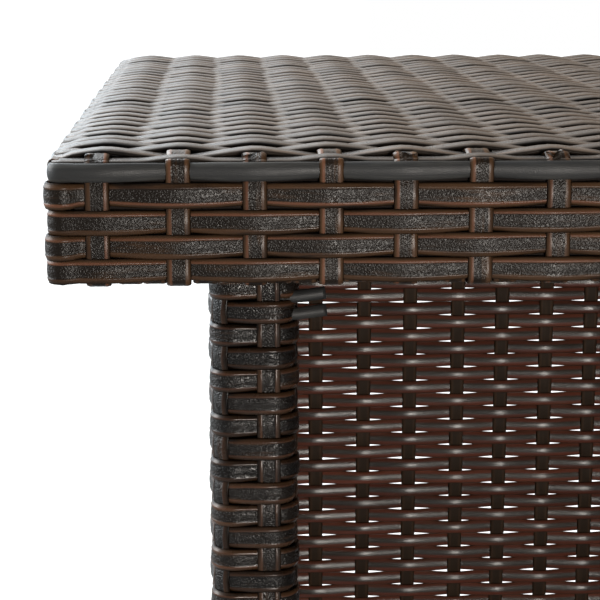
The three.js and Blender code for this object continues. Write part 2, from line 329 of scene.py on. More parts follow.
def leather_grain(n, place, distance):
    """Small uneven cells, embossed between the ribs only."""
    wobble = n.node("ShaderNodeTexNoise")
    wobble.inputs["Scale"].default_value = 700
    n.link(place, wobble.inputs["Vector"])
    warped = n.node("ShaderNodeVectorMath", operation="ADD")
    n.link(place, warped.inputs[0])
    n.link(n.scale(wobble.outputs["Color"], 0.0011), warped.inputs[1])
    cells = n.node("ShaderNodeTexVoronoi", feature="SMOOTH_F1")
    cells.inputs["Scale"].default_value = 1700
    cells.inputs["Smoothness"].default_value = 0.4
    n.link(warped.outputs[0], cells.inputs["Vector"])
    middle = n.ramp(distance, 0.44, 0.58, 1.0, 0.0)
    return n.math("MULTIPLY", n.ramp(cells.outputs["Distance"], 0.15, 0.75, 1.0, 0.0), middle)


def strip_material(name, dark, brown, copper, emboss=1.0, roughness=0.36, specular=0.35, brown_share=0.5,
                   rib_width=0.13, patchiness=1.0, painted_edge_darkest=0.3, gloss_patches=0.22):
    """Extruded plastic strip: brown streaks on black, copper ribs near the edges, embossed like leather
    between them, and painted shade that darkens its colour and reflection where it turns down to its
    neighbours."""
    n = Material(name)
    along, across, strip_tone = n.split("strip")
    left, right, seed = n.split("look")
    side = n.math("MULTIPLY", across, HALF_STRIP)
    shift = n.math("MULTIPLY", seed, 3.0)
    place = n.vector(along, side, shift)
    stretched = n.vector(n.math("MULTIPLY", along, 0.12), side, shift)
    distance = n.math("ABSOLUTE", across)

    color = n.mix(brownness(n, place, stretched, distance, patchiness, brown_share), dark, brown)
    left_rib = rib_share(n, across, stretched, -1, left, rib_width)
    right_rib = rib_share(n, across, stretched, 1, right, rib_width)
    color = n.mix(n.math("MAXIMUM", left_rib, right_rib), color, copper)
    # painted shade: colour and reflection grow darker towards the strip's edges, down to the given darkest
    # share
    painted_edge_shade = n.ramp(distance, 0.82, 0.98, 1.0, painted_edge_darkest)
    shade = n.math("MULTIPLY", n.math("MULTIPLY_ADD", strip_tone, 0.7, 0.65), painted_edge_shade)

    lines = n.noise(n.vector(n.math("MULTIPLY", along, 0.02), side, seed), 2600, 2.0)
    normal = n.bump(leather_grain(n, place, distance), 0.00022 * emboss, n.bump(lines, 0.00004))
    gloss = n.math("MULTIPLY_ADD", n.noise(place, 150, 3.0), gloss_patches, roughness - gloss_patches / 2)
    n.link(n.math("MULTIPLY", painted_edge_shade, specular), n.shader.inputs["Specular IOR Level"])
    return n.finish(n.scale(color, shade), gloss, normal)


def painted_steel():
    """Dark powder coat with its fine orange-peel texture."""
    n = Material("powder_coat")
    place = n.node("ShaderNodeTexCoord").outputs["Object"]
    color = n.mix(n.ramp(n.noise(place, 30, 3.0), 0.3, 0.7), (0.014, 0.011, 0.010), (0.030, 0.024, 0.021))
    gloss = n.math("MULTIPLY_ADD", n.noise(place, 300, 2.0), 0.2, 0.6)
    n.shader.inputs["Specular IOR Level"].default_value = 0.04
    return n.finish(color, gloss, n.bump(n.noise(place, 2200, 2.0), 0.00008))


def zinc():
    """Bright zinc plating, brushed and a little dull in patches."""
    n = Material("zinc_plate")
    place = n.node("ShaderNodeTexCoord").outputs["Object"]
    color = n.mix(n.ramp(n.noise(place, 160, 3.0), 0.3, 0.7), (0.42, 0.43, 0.44), (0.66, 0.66, 0.64))
    gloss = n.math("MULTIPLY_ADD", n.noise(place, 500, 3.0), 0.3, 0.2)
    return n.finish(color, gloss, n.bump(n.noise(place, 3000, 2.0), 0.00003), metallic=1.0)


def moulded_plastic():
    """Black nylon with spark-eroded grain and faint wear."""
    n = Material("moulded_nylon")
    place = n.node("ShaderNodeTexCoord").outputs["Object"]
    color = n.mix(n.ramp(n.noise(place, 90, 4.0), 0.4, 0.75), (0.012, 0.012, 0.012), (0.035, 0.034, 0.033))
    gloss = n.math("MULTIPLY_ADD", n.noise(place, 240, 2.0), 0.2, 0.45)
    return n.finish(color, gloss, n.bump(n.noise(place, 1800, 3.0), 0.00010))


WICKER = strip_material(
    "wicker_strip", (0.0110, 0.0070, 0.0044), (0.064, 0.0325, 0.0155), (0.138, 0.057, 0.031),
    emboss=0.32, roughness=0.31, specular=0.21, rib_width=0.16, patchiness=0.8)
# The wicker painted darker for the legs: painted shade from the top that overhangs them.
LEG_STRIP_PAINTED_SHADE = strip_material(
    "leg_strip_painted_shade", (0.0065, 0.0042, 0.0027), (0.041, 0.0205, 0.0100), (0.090, 0.036, 0.019),
    emboss=0.6, roughness=0.27, specular=0.31, brown_share=0.42, rib_width=0.15)
# The wicker painted lighter and greyer for the top: painted light and reflection on its upward faces.
TOP_STRIP_PAINTED_LIGHT = strip_material(
    "top_strip_painted_light", (0.032, 0.027, 0.024), (0.092, 0.067, 0.050), (0.11, 0.062, 0.040),
    emboss=0.5, roughness=0.40, specular=0.33, painted_edge_darkest=0.25)
EDGE_STRAND = strip_material(
    "edge_strand", (0.034, 0.0335, 0.033), (0.056, 0.054, 0.050), (0.05, 0.047, 0.044),
    emboss=0.08, roughness=0.42, specular=0.26, brown_share=0.2, painted_edge_darkest=0.8)
PANEL_STRIP = strip_material(
    "panel_strip", (0.024, 0.0175, 0.0125), (0.048, 0.031, 0.0200), (0.108, 0.028, 0.0155),
    emboss=0.06, roughness=0.25, specular=0.38, rib_width=0.42, patchiness=0.6, painted_edge_darkest=0.6,
    gloss_patches=0.05)
PANEL_STAKE = strip_material(
    "panel_stake", (0.036, 0.0225, 0.0140), (0.056, 0.034, 0.0200), (0.08, 0.030, 0.017),
    emboss=0.12, roughness=0.5, specular=0.05, rib_width=0.2)

# ------------------------------------------------------------------ the places the frame gives

top_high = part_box("top_weave")[1]
HALF_LENGTH = top_high.x
HALF_DEPTH = top_high.y
TOP_Z = top_high.z + 0.4 * MM
RIM_Z = TOP_Z - RIM_DROP
RAIL_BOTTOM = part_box("top_rail_front")[0].z
RAIL_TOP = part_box("top_rail_front")[1].z
stake_pitch = 2 * (HALF_LENGTH - STAKE_INSET) / (STAKES_ALONG - 1)
stake_x = -HALF_LENGTH + STAKE_INSET + stake_pitch * np.arange(STAKES_ALONG)
side_stake_y = np.linspace(-HALF_DEPTH + SIDE_STAKE_INSET, HALF_DEPTH - SIDE_STAKE_INSET, SIDE_STAKES)
edge_row_z = RIM_Z - EDGE_ROW_DEPTHS
top_rows = round(2 * HALF_DEPTH / ROW_PITCH)
first_row_y = -HALF_DEPTH + FIRST_ROW_INSET
top_pitch = -2 * first_row_y / (top_rows - 1)

EDGE_WAVE = 0.95 * MM  # how far a row swings in and out
EDGE_STAKE_WAVE = 0.5 * MM
TOP_WAVE = 1.45 * MM
TOP_STAKE_WAVE = 0.25 * MM
RIM_STAKE_WAVE = 1.7 * MM  # how far a stake swings at the first row behind the rim
edge_middle = EDGE_WAVE + STRIP_THICKNESS / 2  # depth of the weave's middle below its outer face
EDGE_BOTTOM = edge_row_z[-1] - EDGE_ROW_WIDTHS[-1] / 2 - 1.0 * MM  # where strips turn in under the rail
top_middle = TOP_Z - TOP_WAVE - TOP_THICKNESS / 2 - TOP_CROWN / 2


def wave(phase, sharp=0.95):
    """A strip's swing: +1 over a stake at even phases, -1 under the next, straight between the two."""
    return np.arcsin(sharp * np.cos(np.pi * phase)) / math.asin(sharp)


def smooth(t):
    t = np.clip(t, 0, 1)
    return t * t * (3 - 2 * t)


def filleted(corners, radii, spacing):
    """Points along a bent line with round corners, and the normal on its left at each of them."""
    corners = [np.array(c, float) for c in corners]
    points, normals = [], []
    start = corners[0]
    for i, radius in enumerate(radii, 1):
        before = (corners[i] - corners[i - 1]) / np.linalg.norm(corners[i] - corners[i - 1])
        after = (corners[i + 1] - corners[i]) / np.linalg.norm(corners[i + 1] - corners[i])
        turn = math.atan2(before[0] * after[1] - before[1] * after[0], float(before @ after))
        setback = radius * abs(math.tan(turn / 2))
        end = corners[i] - before * setback
        left = np.array([-before[1], before[0]])
        for t in np.linspace(0, 1, max(2, round(np.linalg.norm(end - start) / spacing) + 1))[:-1]:
            points.append(start + (end - start) * t)
            normals.append(left)
        centre = end + left * math.copysign(radius, turn)
        for angle in np.linspace(0, turn, 5)[:-1]:
            cos, sin = math.cos(angle), math.sin(angle)
            normal = np.array([left[0] * cos - left[1] * sin, left[0] * sin + left[1] * cos])
            points.append(centre - normal * math.copysign(radius, turn))
            normals.append(normal)
        start = corners[i] + after * setback
    last = corners[-1] - start
    left = np.array([-last[1], last[0]]) / np.linalg.norm(last)
    for t in np.linspace(0, 1, max(2, round(np.linalg.norm(last) / spacing) + 1)):
        points.append(start + last * t)
        normals.append(left)
    return np.array(points), np.array(normals)


# ------------------------------------------------------------------ the top


def top_level(to_edge):
    """Height of the middle of the top's weave: it comes down over the last rows before the edge."""
    return top_middle - RIM_LOW * np.exp(-(to_edge - FIRST_ROW_INSET) / (8.5 * MM))


def top_rows_piece(name, first, last):
    """Rows that run along the table, over and under the stakes. They dip behind the edge at each end,
    and the first and last of them rest on the rails."""
    weave = Weave()
    section = Section(STRIP_WIDTH + 0.5 * MM, TOP_THICKNESS, crown=TOP_CROWN)
    reach = HALF_LENGTH - TOP_END_GAP
    x = steps(-reach, reach, 3.17 * MM)
    inside = smooth((HALF_LENGTH - np.abs(x) - 2.5 * MM) / (7 * MM))
    for row in range(first, last):
        y = first_row_y + row * top_pitch
        phase = (x - stake_x[0]) / stake_pitch + row + 1
        swing = TOP_WAVE * (1 + 0.05 * rng.normal())
        level = top_level(HALF_DEPTH - abs(y)) - TOP_END_DROP * (1 - inside)
        z = level + swing * wave(phase) * (0.45 + 0.55 * inside) + 0.12 * MM * rng.normal()
        drift = 0.25 * MM * np.sin(x * rng.uniform(4, 9) + rng.uniform(0, 6.28))
        points = np.stack([x, y + drift, np.maximum(z, RAIL_TOP - RAIL_SINK)], 1)
        weave.add(points, (0, 0, 1), section, tone(0.8), ribs(0.4), roll=math.radians(rng.normal(1.0, 0.8)))
    return weave.build(name, TOP_STRIP_PAINTED_LIGHT, "woven_strip", "top_weave")


def stake_path(half_span, over_top):
    """Half of a stake's middle line in its own upright plane, as (inward from the edge, height): under
    the rail, up the edge and over the rim."""
    corners = [(20 * MM, RAIL_BOTTOM - 1.2 * MM), (3 * MM, EDGE_BOTTOM)]
    corners += [(0, EDGE_BOTTOM + 1.2 * MM), (0, RIM_Z)]
    radii = [3 * MM, 1.5 * MM, 1.3 * MM]
    if over_top:
        corners += [(2.6 * MM, RIM_Z - 0.2 * MM), (6.0 * MM, top_middle - 1.2 * MM), (15 * MM, top_middle)]
        corners += [(half_span, top_middle)]
        radii += [1.2 * MM, 2 * MM, 6 * MM]
    else:
        corners += [(3.2 * MM, RIM_Z), (3.2 * MM, RIM_Z - 7 * MM)]
        radii += [1.2 * MM]
    return filleted(corners, radii, 3.0 * MM)


def edge_row_count(z):
    """How many rows below the edge strand a height is, counted in row centres."""
    return np.interp(-z, -edge_row_z, np.arange(len(edge_row_z)))


def stake_swing(inward, z, normal, order):
    """How far a stake leans in or out where it meets each row."""
    on_edge = -EDGE_STAKE_WAVE * wave(order - edge_row_count(z))
    reach = TOP_STAKE_WAVE + (RIM_STAKE_WAVE - TOP_STAKE_WAVE) * (1 - smooth((inward - 6 * MM) / (12 * MM)))
    on_top = -reach * wave(order + (inward + edge_middle - FIRST_ROW_INSET) / top_pitch + 1)
    swing = np.where(normal[:, 1] > 0.7, on_top, on_edge)
    return np.where(normal[:, 1] < -0.3, 0, swing)


def top_stakes_piece():
    """Strips that start under the front rail, climb the edge, cross the whole top and go down the back."""
    weave = Weave()
    section = Section(STRIP_WIDTH, crown=STAKE_CROWN)
    outer = HALF_DEPTH - edge_middle
    half, half_normal = stake_path(outer, True)
    for k, x in enumerate(stake_x):
        swing = stake_swing(half[:, 0], half[:, 1], half_normal, k)
        line = half + half_normal * swing[:, None]
        swing = stake_swing(half[:, 0], half[:, 1], half_normal, k + top_rows + 1)
        far = (half + half_normal * swing[:, None])[-2::-1]
        y = np.concatenate([line[:, 0] - outer, outer - far[:, 0]])
        z = np.concatenate([line[:, 1], far[:, 1]])
        far_normal = half_normal[-2::-1] * np.array([-1, 1])
        normal = np.concatenate([half_normal, far_normal])
        lean = rng.normal() * 0.25 * MM
        place = x + rng.normal() * 0.2 * MM - (END_STAKE_SHIFT if k == 0 else 0)
        points = np.stack([place + lean * np.linspace(-1, 1, len(y)), y, z], 1)
        normals = np.stack([np.zeros(len(y)), normal[:, 0], normal[:, 1]], 1)
        weave.add(points, normals, section, tone(0.8), stake_ribs(k == 0))
    return weave.build("top_stakes", WICKER, "woven_strip", "top_weave")


def side_stakes_piece(name, side):
    """Short strips on an end of the top: under the rail, up through the rows and over the edge strand."""
    weave = Weave()
    section = Section(STRIP_WIDTH, crown=STAKE_CROWN)
    outer = HALF_LENGTH - edge_middle
    path, path_normal = stake_path(outer, False)
    for i, y in enumerate(side_stake_y):
        swing = -EDGE_STAKE_WAVE * wave(i + 1 - edge_row_count(path[:, 1]))
        swing = np.where((path_normal[:, 1] < -0.3) | (path[:, 0] > 1 * MM), 0, swing)
        line, line_normal = path + path_normal * swing[:, None], path_normal
        if i % 2:  # this one ends behind the edge strand
            kept = ~((path[:, 1] > RIM_Z - 2.5 * MM) | ((path[:, 0] > 1 * MM) & (path_normal[:, 1] > -0.3)))
            line, line_normal = line[kept], path_normal[kept]
        points = np.stack([side * (outer - line[:, 0]), np.full(len(line), y), line[:, 1]], 1)
        normals = np.stack([-side * line_normal[:, 0], np.zeros(len(line)), line_normal[:, 1]], 1)
        weave.add(points, normals, section, tone(0.8), ribs(1.0))
    return weave.build(name, WICKER, "woven_strip", f"edge_weave_{'left' if side < 0 else 'right'}")


def edge_binding_piece():
    """Short strips between the stakes that bind the lower edge: from behind the rows, in under the rail."""
    weave = Weave()
    section = Section(STRIP_WIDTH, crown=0.1 * MM)
    corners = [(20 * MM, RAIL_BOTTOM - 1.2 * MM), (4.2 * MM, EDGE_BOTTOM), (4.2 * MM, EDGE_BOTTOM + 9 * MM)]
    path, path_normal = filleted(corners, [1.6 * MM], 4 * MM)
    thirds = np.array([1, 2]) / 3
    for axis, stakes, half in ((0, stake_x, HALF_DEPTH), (1, side_stake_y, HALF_LENGTH)):
        between = (stakes[:-1, None] + np.diff(stakes)[:, None] * thirds).ravel()
        for side in (-1, 1):
            for at in between:
                points = np.zeros((len(path), 3))
                points[:, axis] = at + 0.15 * MM * rng.normal()
                points[:, 1 - axis] = side * (half - edge_middle - path[:, 0])
                points[:, 2] = path[:, 1] + 0.3 * MM * rng.normal()
                normals = np.zeros((len(path), 3))
                normals[:, 1 - axis] = -side * path_normal[:, 0]
                normals[:, 2] = path_normal[:, 1]
                weave.add(points, normals, section, tone(0.8), (0.1, 0.1))
    weave.build("edge_binding", WICKER, "woven_strip")


def rounded_loop(half_x, half_y, radius, spacing):
    """Points and normals round a rectangle with round corners, anticlockwise from the front left."""
    points, normals = [], []
    corners = [(half_x, -half_y, -90), (half_x, half_y, 0), (-half_x, half_y, 90), (-half_x, -half_y, 180)]
    previous = np.array([-half_x + radius, -half_y])
    for cx, cy, start in corners:
        centre = np.array([cx - math.copysign(radius, cx), cy - math.copysign(radius, cy)])
        outward = np.array([math.cos(math.radians(start)), math.sin(math.radians(start))])
        begin = centre + outward * radius
        count = max(2, round(np.linalg.norm(begin - previous) / spacing) + 1)
        for t in np.linspace(0, 1, count)[:-1]:
            points.append(previous + (begin - previous) * t)
            normals.append(outward)
        for angle in np.linspace(start, start + 90, 6)[:-1]:
            direction = np.array([math.cos(math.radians(angle)), math.sin(math.radians(angle))])
            points.append(centre + direction * radius)
            normals.append(direction)
        last = np.array([math.cos(math.radians(start + 90)), math.sin(math.radians(start + 90))])
        previous = centre + last * radius
    return np.array(points), np.array(normals)


def loop_phase(points, places):
    """The stake count at each point of a closed loop: whole numbers at the stakes' places, in order."""
    run = np.concatenate([[0], np.cumsum(np.linalg.norm(np.diff(points, axis=0), axis=1))])
    total = run[-1] + np.linalg.norm(points[0] - points[-1])
    at = np.array([run[np.argmin(np.linalg.norm(points - np.array(p), axis=1))] for p in places])
    first = int(np.argmin(at))
    at = np.roll(at, -first)
    count = len(places)
    known = np.concatenate([[at[-1] - total], at, [at[0] + total]])
    phase = np.concatenate([[first - 1], first + np.arange(count), [first + count]])
    return np.interp(run, known, phase)


def edge_rows_pieces():
    """Five rows round the edge of the top, each one closed loop. The upper one is the plain edge strand."""
    middle = np.array([HALF_LENGTH, HALF_DEPTH]) - edge_middle
    base, normals = rounded_loop(*middle, EDGE_RADIUS - edge_middle, 2.53 * MM)
    places = [(x, -HALF_DEPTH) for x in stake_x] + [(HALF_LENGTH, y) for y in side_stake_y]
    places += [(x, HALF_DEPTH) for x in stake_x[::-1]] + [(-HALF_LENGTH, y) for y in side_stake_y[::-1]]
    phase = loop_phase(base, places)
    to_corner = np.linalg.norm(np.abs(base) - middle, axis=1)
    free = smooth((to_corner - 4.5 * MM) / (5 * MM))
    for row in range(len(edge_row_z)):
        edge_row_piece(row, base, normals, phase, free)


def edge_row_piece(row, base, normals, phase, free):
    """One row round the edge. `free` is 0 at the corners, where a row has a set place, and 1 elsewhere."""
    weave = Weave()
    edge_strand = row == 0
    thickness = STRIP_THICKNESS * (1.6 if edge_strand else 1.0)
    shape = Section.HALF_ROUND if edge_strand else Section.HALF_FINE
    section = Section(EDGE_ROW_WIDTHS[row], thickness, shape, crown=0.5 * MM)
    turn = wave(phase - row)
    swing = EDGE_WAVE * turn * free + EDGE_CORNER_SWING[row] * (1 - free)
    out = base + normals * swing[:, None]
    level = 0.2 * MM * np.sin(phase * 0.37 + row * 1.9)
    spread = 1 - 0.11 * ((1 - turn) / 1.7) ** 2 * free + 0.04 * (1 - free)
    lifted = (1 - spread) * EDGE_ROW_WIDTHS[row] * 0.25
    points = np.stack([out[:, 0], out[:, 1], edge_row_z[row] + level + lifted], 1)
    outward = np.stack([normals[:, 0], normals[:, 1], np.zeros(len(base))], 1)
    shift = len(base) // 2
    points, outward, narrow = np.roll(points, shift, 0), np.roll(outward, shift, 0), np.roll(spread, shift)
    shade = 0.5 + 0.08 * (row % 2)
    weave.add(points, outward, section, shade, EDGE_RIBS[row], closed=True, narrow=narrow)
    weave.build(f"edge_row_{row + 1}", EDGE_STRAND if edge_strand else WICKER, "woven_strip",
                "edge_weave_front", "edge_weave_back", "edge_weave_left", "edge_weave_right")


# ------------------------------------------------------------------ the legs

LEG_WAVE = 0.85 * MM
LEG_STAKE_WAVE = 0.5 * MM
LEG_CORNER = 8 * MM
LEG_PLUMP = 0.6 * MM  # the rows' crowns stand this far outside the CAD sleeve
LEG_STAKES = 6
CORNER_STAKE = -14.1 * MM  # round the leg from the middle of its front: the stake on the outer corner
FACE_STAKE = 5.0 * MM  # and the one on its face
LEG_END_GAP = 0.3 * MM  # the weave stops this short of the sleeve's ends
SEAM_SHIFT = 23 * MM  # where a row's pattern starts, from the middle of the leg's back


def row_spans(top, bottom, pitch, boundary):
    """(count, middle, height) of each row between two heights, the end ones cut narrower to fit."""
    spans = []
    count = -math.floor((top - boundary) / pitch) - 1
    while boundary - count * pitch > bottom:
        high = min(top, boundary - count * pitch)
        low = max(bottom, boundary - (count + 1) * pitch)
        if high - low > 2.5 * MM:
            spans.append((count, (high + low) / 2, high - low))
        count += 1
    return spans


def square_outline(run, half, radius):
    """Points and normals round a square with round corners, `run` along it from its front's middle,
    anticlockwise."""
    straight = half - radius
    side = 2 * straight + radius * math.pi / 2
    quarter = np.floor(run / side + 0.5)
    local = run - quarter * side
    distance = np.abs(local)
    angle = np.clip((distance - straight) / radius, 0, None)
    on_arc = distance > straight
    x = np.where(on_arc, straight + radius * np.sin(angle), distance) * np.sign(local)
    y = np.where(on_arc, -straight - radius * np.cos(angle), -half)
    nx = np.where(on_arc, np.sin(angle), 0) * np.sign(local)
    ny = np.where(on_arc, -np.cos(angle), -1)
    cos, sin = np.cos(quarter * math.pi / 2), np.sin(quarter * math.pi / 2)
    points = np.stack([x * cos - y * sin, x * sin + y * cos], 1)
    normals = np.stack([nx * cos - ny * sin, nx * sin + ny * cos], 1)
    return points, normals


class Leg:
    """Where one leg's weave lies: round a square with round corners, with stakes at uneven places."""

    def __init__(self, name):
        self.name = name
        self.low, self.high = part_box(f"leg_weave_{name}")
        self.centre = (self.low + self.high) / 2
        self.mirror = 1 if name.endswith("left") else -1
        self.half = (self.high.x - self.low.x) / 2 + LEG_PLUMP - LEG_WAVE - STRIP_THICKNESS / 2
        self.around = 4 * (2 * (self.half - LEG_CORNER) + LEG_CORNER * math.pi / 2)
        self.fine = name == "front_left"  # the one nearest the camera
        self.shape = Section.HALF_FINE if self.fine else Section.HALF_PLAIN
        rest = np.linspace(FACE_STAKE, CORNER_STAKE + self.around, LEG_STAKES)
        self.stakes = np.concatenate([[CORNER_STAKE], rest[:-1]])

    def place(self, flat, z):
        return np.stack([self.centre.x + self.mirror * flat[:, 0], self.centre.y + flat[:, 1], z], 1)


def leg_rows_piece(leg):
    """Rows round a leg, each a closed loop over and under its stakes."""
    count = 84 if leg.fine else 56
    run = (np.arange(count) / count - 0.5) * leg.around - SEAM_SHIFT
    base, normals = square_outline(run, leg.half, LEG_CORNER)
    known = np.append(leg.stakes, CORNER_STAKE + leg.around)
    phase = np.interp((run - CORNER_STAKE) % leg.around + CORNER_STAKE, known, np.arange(LEG_STAKES + 1))
    weave = Weave()
    top, bottom = leg.high.z - LEG_END_GAP, leg.low.z + LEG_END_GAP
    for row, z, height in row_spans(top, bottom, LEG_ROW_PITCH, LEG_BOUNDARY):
        turn = wave(phase + row + 1, 0.8)
        swing = LEG_WAVE * (1 + 0.08 * rng.normal()) * turn
        points = base + normals * swing[:, None]
        tilt = 0.2 * MM * rng.normal() * np.sin(run / leg.around * 2 * math.pi + rng.uniform(0, 6.28))
        ring = leg.place(points, z + tilt)
        flat = np.stack([leg.mirror * normals[:, 0], normals[:, 1], np.zeros(count)], 1)
        section = Section(height, half=leg.shape, crown=0.6 * MM)
        narrow = 1 - 0.08 * ((1 - turn) / 1.7) ** 2
        weave.add(ring[::leg.mirror], flat[::leg.mirror], section, tone(1.0), ribs_pair(), closed=True,
                  narrow=narrow[::leg.mirror])
    weave.build(f"leg_rows_{leg.name}", LEG_STRIP_PAINTED_SHADE, "woven_strip", f"leg_weave_{leg.name}")


def leg_stakes_piece(leg):
    """A leg's upright strips. Those on its corners are curled round them."""
    stakes = Weave()
    z = steps(leg.low.z + 0.5 * MM, leg.high.z - LEG_END_GAP, 2.15 * MM if leg.fine else 2.9 * MM)
    for i, at in enumerate(leg.stakes):
        point, normal = square_outline(np.array([at]), leg.half, LEG_CORNER)
        curl = 9 * MM if min(abs(normal[0])) > 0.2 else None
        section = Section(8.8 * MM, half=leg.shape, crown=0.2 * MM, curl_radius=curl)
        swing = -LEG_STAKE_WAVE * wave((LEG_BOUNDARY - z) / LEG_ROW_PITCH - 0.5 + i + 1)
        across = np.array([-normal[0, 1], normal[0, 0]]) * 0.2 * MM * rng.normal()
        line = leg.place(point + across + normal * swing[:, None], z)
        stakes.add(line, (leg.mirror * normal[0, 0], normal[0, 1], 0), section, tone(0.9), ribs_pair())
    stakes.build(f"leg_stakes_{leg.name}", LEG_STRIP_PAINTED_SHADE, "woven_strip", f"leg_weave_{leg.name}")


# ------------------------------------------------------------------ the panels

PANEL_WAVE = 1.5 * MM
PANEL_STAKE_WAVE = 0.35 * MM
PANEL_STAKE_PITCH = 25.86 * MM
PANEL_THICKNESS = 1.1 * MM
PANEL_ROLL = math.radians(8.5)
BACK_STAKE_DRIFT = np.array([0, 1.7, 2.5, 4.2, 3.7, 3.6, 3.4, 2.8, 1.9, 0.8]) * MM  # uneven by hand
BINDING_LIFT = 0.75 * MM  # the middle of the wound strip, off the rail
BINDING_CORNER = 2.6 * MM


class Panel:
    """Where one panel's weave lies. `axis` is 0 where the panel runs along X and 1 along Y; `face` is
    the side its rows' ribs face."""

    def __init__(self, name, axis, face):
        self.name, self.axis, self.other, self.face = name, axis, 1 - axis, face
        low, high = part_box(f"{name}_panel_weave")
        rail_low, rail_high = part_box(f"{name}_panel_bottom_rail")
        top_rail_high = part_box(f"{name}_panel_top_rail")[1]
        self.centre = (low + high) / 2
        self.half = (high[axis] - low[axis]) / 2
        self.rail = (rail_high[self.other] - rail_low[self.other]) / 2
        self.rail_half = (rail_high[axis] - rail_low[axis]) / 2
        self.rail_middles = (rail_low.z + self.rail, top_rail_high.z - self.rail)
        self.low = rail_low.z + 2 * self.rail - 1 * MM
        self.high = top_rail_high.z - 2 * self.rail + 1 * MM
        self.outward = np.zeros(3)
        self.outward[self.other] = face
        count = int(2 * (self.half - 10 * MM) / PANEL_STAKE_PITCH) + 1
        self.stakes = (np.arange(count) - (count - 1) / 2) * PANEL_STAKE_PITCH
        if name == "back":
            self.stakes[:len(BACK_STAKE_DRIFT)] += BACK_STAKE_DRIFT

    def place(self, along, out, z):
        points = np.zeros((len(along), 3))
        points[:, self.axis] = self.centre[self.axis] + along
        points[:, self.other] = self.centre[self.other] + self.face * out
        points[:, 2] = z
        return points

    def stake_phase(self, along):
        """The stake count at each place: whole numbers at the stakes."""
        count, beyond = len(self.stakes), 2 * PANEL_STAKE_PITCH
        known = np.concatenate([[self.stakes[0] - beyond], self.stakes, [self.stakes[-1] + beyond]])
        return np.interp(along, known, np.concatenate([[-2], np.arange(count), [count + 1]]))


def panel_rows_piece(panel):
    """Rows over and under the panel's stakes, each leaning a little to show its upper side."""
    weave = Weave()
    along = steps(-panel.half, panel.half, PANEL_STAKE_PITCH / 10)
    phase = panel.stake_phase(along)
    flip = -1 if panel.face * (1 - 2 * panel.axis) < 0 else 1
    for row, z, height in row_spans(panel.high, panel.low, PANEL_ROW_PITCH, PANEL_BOUNDARY):
        turn = wave(phase + row + 1, 0.93)
        swing = PANEL_WAVE * (1 + 0.05 * rng.normal()) * turn
        drift = 0.12 * MM * np.sin(along * rng.uniform(5, 12) + rng.uniform(0, 6.28))
        section = Section(height, PANEL_THICKNESS, Section.HALF_SOFT, crown=0.45 * MM)
        narrow = 1.015 - 0.095 * np.abs(turn)
        line = panel.place(along, swing, z + drift + 0.05 * MM * rng.normal())
        weave.add(line, panel.outward, section, tone(0.4), (0.8, 0.9), roll=flip * PANEL_ROLL, narrow=narrow)
    weave.build(f"{panel.name}_panel_rows", PANEL_STRIP, "panel_strip", f"{panel.name}_panel_weave")


def panel_stakes_piece(panel):
    """The panel's upright strips, from rail to rail."""
    stakes = Weave()
    section = Section(PANEL_STAKE_WIDTH, PANEL_THICKNESS)
    z = steps(panel.low, panel.high, PANEL_ROW_PITCH / 2)
    for i, at in enumerate(panel.stakes):
        swing = -PANEL_STAKE_WAVE * wave((PANEL_BOUNDARY - z) / PANEL_ROW_PITCH - 0.5 + i + 1)
        sway = at + rng.normal() * 0.2 * MM * np.linspace(-1, 1, len(z))
        stakes.add(panel.place(sway, swing, z), panel.outward, section, 0.1, (0.15, 0.15))
    stakes.build(f"{panel.name}_panel_stakes", PANEL_STAKE, "panel_strip", f"{panel.name}_panel_weave")


def panel_binding_piece(panel):
    """A strip wound along each of the panel's two rails."""
    wound = Weave()
    section = Section(PANEL_STAKE_WIDTH, PANEL_THICKNESS)
    reach = panel.rail_half - 4 * MM
    turn_pitch = PANEL_STAKE_WIDTH * 1.05
    half = panel.rail + BINDING_LIFT
    around = 4 * (2 * (half - BINDING_CORNER) + BINDING_CORNER * math.pi / 2)
    run = np.arange(0, 2 * reach / turn_pitch * around, around / 16)
    outline, normals = square_outline(run, half, BINDING_CORNER)
    for z_middle in panel.rail_middles:
        line = panel.place(-reach + run / around * turn_pitch, outline[:, 0], z_middle + outline[:, 1])
        outward = np.zeros_like(line)
        outward[:, panel.other] = panel.face * normals[:, 0]
        outward[:, 2] = normals[:, 1]
        wound.add(line, outward, section, tone(0.5), ribs_pair())
    wound.build(f"{panel.name}_panel_binding", PANEL_STRIP, "panel_strip")


# ------------------------------------------------------------------ loose ends and plain solids

STRAND_TAILS = ((369.6 * MM, 10.8 * MM), (363.1 * MM, 11.2 * MM))  # height and length of each


def strand_tails_piece():
    """Two cut strip ends that stand out beside the top of the front left leg."""
    leg_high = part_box("leg_weave_front_left")[1]
    weave = Weave()
    section = Section(4.6 * MM, 1.6 * MM, Section.HALF_ROUND, crown=0.5 * MM)
    for z, length in STRAND_TAILS:
        t = steps(-14 * MM, length, 1.5 * MM)
        rise = 0.12 * np.maximum(t, 0)
        x = leg_high.x - 0.5 * MM + t
        points = np.stack([x, leg_high.y - 27.5 * MM + 0.05 * t, z + rise], 1)
        weave.add(points, (0, -1, 0.15), section, 0.0, (0.1, 0.1))
    weave.build("strand_tails", EDGE_STRAND, "woven_strip")


def dress_solids():
    """Powder coat, zinc and nylon on the CAD solids that show as they are."""
    materials = {
        "frame_steel": painted_steel(),
        "zinc_plated_steel": zinc(),
        "foot_plastic": moulded_plastic(),
    }
    for sub in frame["record"]["subparts"]:
        material = materials.get(sub["material_slot"])
        if material:
            node = frame["nodes"][sub["node"]]
            node.data.materials.clear()
            node.data.materials.append(material)


# ------------------------------------------------------------------ camera, floor and light

